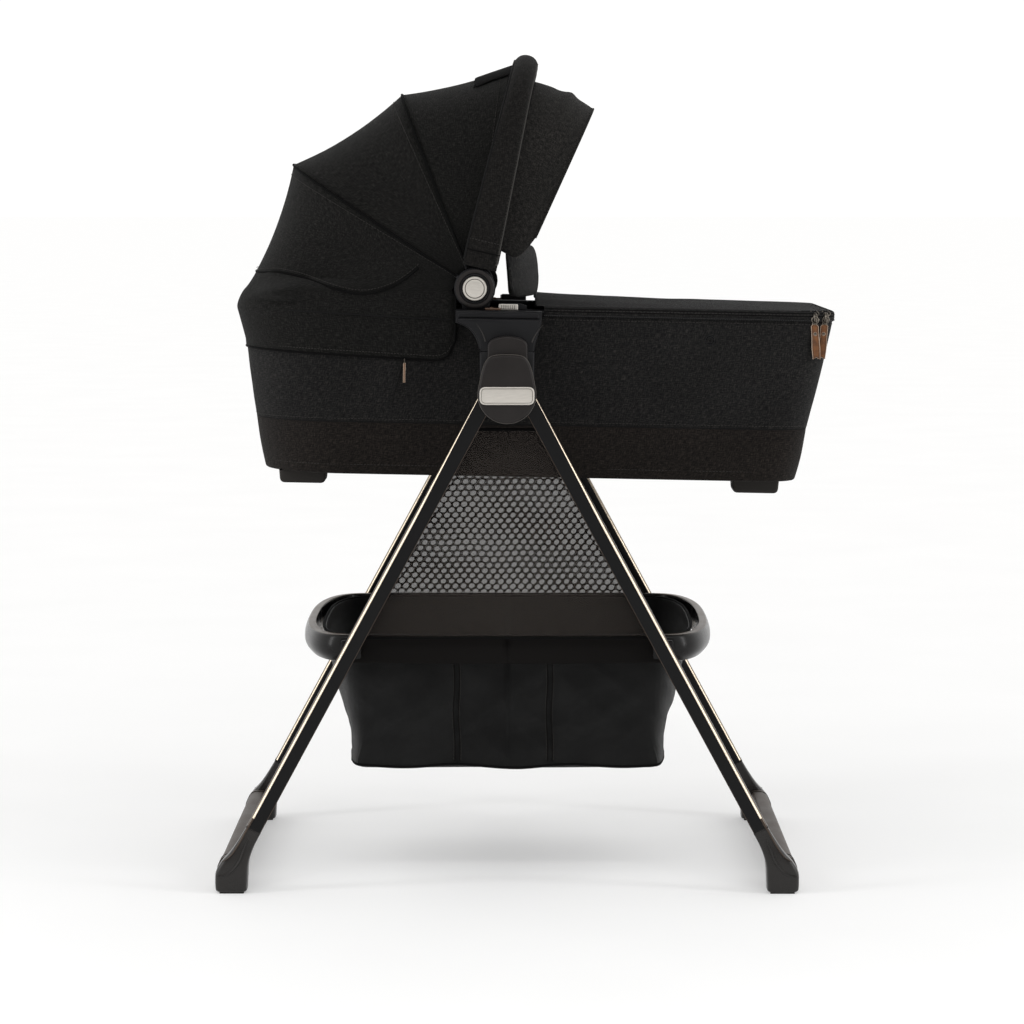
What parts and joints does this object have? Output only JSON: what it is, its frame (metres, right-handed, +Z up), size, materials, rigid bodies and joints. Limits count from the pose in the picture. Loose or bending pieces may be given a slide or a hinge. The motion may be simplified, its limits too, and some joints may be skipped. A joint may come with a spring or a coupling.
{
  "type": "bassinet on stand",
  "caption": "Carry bassinet with a fan-folding canopy, visor, boot cover and carry handle, standing on a folding A-frame with a storage basket.",
  "frame": {"origin": "on the floor, under the middle of the whole object's box", "axes": "+X from the head end (canopy) to the foot end, +Y across the bassinet from the near side to the far side, +Z up"},
  "size_m": [0.8843, 0.618, 1.1783],
  "materials": {
    "hub_plastic": "satin moulded plastic, dark warm grey",
    "pin_steel": "turned steel",
    "silver_trim": "satin silver",
    "net": "open net with small oval holes",
    "mount_plastic": "black moulded plastic",
    "leg_paint": "satin black anodised extrusion with bright edge lines",
    "shoe_plastic": "moulded plastic with a soft sheen",
    "rubber_pad": "matt rubber",
    "bar_paint": "satin bronze-black coating",
    "ring_plastic": "gloss black",
    "basket_fabric": "thin black polyester with a faint sheen",
    "tub_fabric": "charcoal melange weave",
    "canopy_fabric": "charcoal melange weave",
    "board": "plain board",
    "mattress_cover": "quilted light grey jersey",
    "slider_metal": "gunmetal",
    "brown_leather": "tan brown leather"
  },
  "bodies": {
    "stand_hubs": {"hub_housing_near": "hub_plastic", "hub_housing_far": "hub_plastic", "hub_pin_near": "pin_steel", "hub_pin_far": "pin_steel", "hub_cover_near": "hub_plastic", "hub_cover_far": "hub_plastic", "hub_badge_near": "silver_trim", "hub_badge_far": "silver_trim", "side_net_near": "net", "side_net_far": "net", "basket_bag": "basket_fabric"},
    "head_leg_frame": {"head_leg_near": "leg_paint", "head_leg_far": "leg_paint", "head_shoe_near": "shoe_plastic", "head_shoe_far": "shoe_plastic", "head_pad_near": "rubber_pad", "head_pad_far": "rubber_pad", "head_cross_bar": "bar_paint", "head_ring_end": "ring_plastic"},
    "foot_leg_frame": {"foot_leg_near": "leg_paint", "foot_leg_far": "leg_paint", "foot_shoe_near": "shoe_plastic", "foot_shoe_far": "shoe_plastic", "foot_pad_near": "rubber_pad", "foot_pad_far": "rubber_pad", "foot_cross_bar": "bar_paint", "foot_ring_end": "ring_plastic"},
    "bassinet": {"tub_shell": "tub_fabric", "base_board": "board", "mattress": "mattress_cover", "rim_frame": "mount_plastic", "side_mount_near": "mount_plastic", "side_mount_far": "mount_plastic", "tub_foot_head_near": "rubber_pad", "tub_foot_head_far": "rubber_pad", "tub_foot_foot_near": "rubber_pad", "tub_foot_foot_far": "rubber_pad", "canopy_skirt": "tub_fabric", "rear_panel": "canopy_fabric"},
    "rear_hoop": {"rear_hoop": "mount_plastic", "middle_panel": "canopy_fabric"},
    "middle_hoop": {"middle_hoop": "mount_plastic", "front_panel": "canopy_fabric"},
    "handle": {"handle_hoop": "canopy_fabric", "pivot_housing_near": "mount_plastic", "pivot_housing_far": "mount_plastic", "visor_panel": "canopy_fabric"},
    "visor": {"visor_wire": "mount_plastic"},
    "pivot_button_near": {"pivot_button_near": "silver_trim"},
    "pivot_button_far": {"pivot_button_far": "silver_trim"},
    "release_slide_near": {"release_slide_near": "silver_trim"},
    "release_slide_far": {"release_slide_far": "silver_trim"},
    "boot_cover": {"boot_cover": "tub_fabric", "zip_slider_left": "slider_metal", "zip_slider_right": "slider_metal"},
    "cover_flap": {"cover_flap": "tub_fabric"},
    "zip_pull_left": {"zip_pull_left": "brown_leather"},
    "zip_pull_right": {"zip_pull_right": "brown_leather"},
    "side_zip_pull": {"side_zip_pull": "brown_leather"}
  },
  "joints": [
    {"name": "head_leg_fold", "type": "hinge", "parent": "stand_hubs", "child": "head_leg_frame", "pos_m": [-0.03121, 0, 0.7], "axis": [0, -1, 0], "range_deg": [0, 25], "deforming": ["basket_bag", "side_net_near", "side_net_far"]},
    {"name": "foot_leg_fold", "type": "hinge", "parent": "stand_hubs", "child": "foot_leg_frame", "pos_m": [-0.03121, 0, 0.7], "axis": [0, -1, 0], "range_deg": [-25, 0]},
    {"name": "bassinet_lift", "type": "slide", "parent": "stand_hubs", "child": "bassinet", "axis": [0, 0, 1], "range_m": [0, 0.2]},
    {"name": "rear_hoop_fold", "type": "hinge", "parent": "bassinet", "child": "rear_hoop", "pos_m": [-0.0764, 0, 0.84689], "axis": [0, -1, 0], "range_deg": [0, 24.5], "deforming": ["rear_panel", "canopy_skirt"]},
    {"name": "middle_hoop_fold", "type": "hinge", "parent": "rear_hoop", "child": "middle_hoop", "pos_m": [-0.0764, 0, 0.84689], "axis": [0, -1, 0], "range_deg": [0, 24.5], "deforming": ["middle_panel"]},
    {"name": "handle_fold", "type": "hinge", "parent": "middle_hoop", "child": "handle", "pos_m": [-0.0764, 0, 0.84689], "axis": [0, -1, 0], "range_deg": [0, 24.5], "deforming": ["front_panel"]},
    {"name": "visor_fold", "type": "hinge", "parent": "handle", "child": "visor", "pos_m": [-0.0764, 0, 0.84689], "axis": [0, -1, 0], "range_deg": [0, 30], "deforming": ["visor_panel"]},
    {"name": "pivot_button_near_push", "type": "slide", "parent": "handle", "child": "pivot_button_near", "axis": [0, 1, 0], "range_m": [0, 0.003], "stiffness_N_per_m": 400},
    {"name": "pivot_button_far_push", "type": "slide", "parent": "handle", "child": "pivot_button_far", "axis": [0, -1, 0], "range_m": [0, 0.003], "stiffness_N_per_m": 400},
    {"name": "release_slide_near_pull", "type": "slide", "parent": "bassinet", "child": "release_slide_near", "axis": [1, 0, 0], "range_m": [0, 0.012], "stiffness_N_per_m": 300},
    {"name": "release_slide_far_pull", "type": "slide", "parent": "bassinet", "child": "release_slide_far", "axis": [1, 0, 0], "range_m": [0, 0.012], "stiffness_N_per_m": 300},
    {"name": "boot_cover_off", "type": "slide", "parent": "bassinet", "child": "boot_cover", "axis": [1, 0, 0], "range_m": [0, 0.2]},
    {"name": "cover_flap_fold", "type": "hinge", "parent": "boot_cover", "child": "cover_flap", "pos_m": [0.01632, 0, 0.83161], "axis": [0, 1, 0], "range_deg": [0, 80]},
    {"name": "zip_pull_left_swing", "type": "hinge", "parent": "boot_cover", "child": "zip_pull_left", "pos_m": [0.40155, -0.2035, 0.78771], "axis": [-1, 0, 0], "range_deg": [0, 80]},
    {"name": "zip_pull_right_swing", "type": "hinge", "parent": "boot_cover", "child": "zip_pull_right", "pos_m": [0.41555, -0.1955, 0.78744], "axis": [-1, 0, 0], "range_deg": [0, 80]},
    {"name": "side_zip_pull_swing", "type": "hinge", "parent": "bassinet", "child": "side_zip_pull", "pos_m": [-0.17838, -0.2225, 0.74483], "axis": [-1, 0, 0], "range_deg": [0, 80]}
  ],
  "couplings": [
    {"joint": "foot_leg_fold", "follows": "head_leg_fold", "ratio": -1},
    {"joint": "rear_hoop_fold", "follows": "handle_fold", "ratio": 1},
    {"joint": "middle_hoop_fold", "follows": "handle_fold", "ratio": 1}
  ]
}
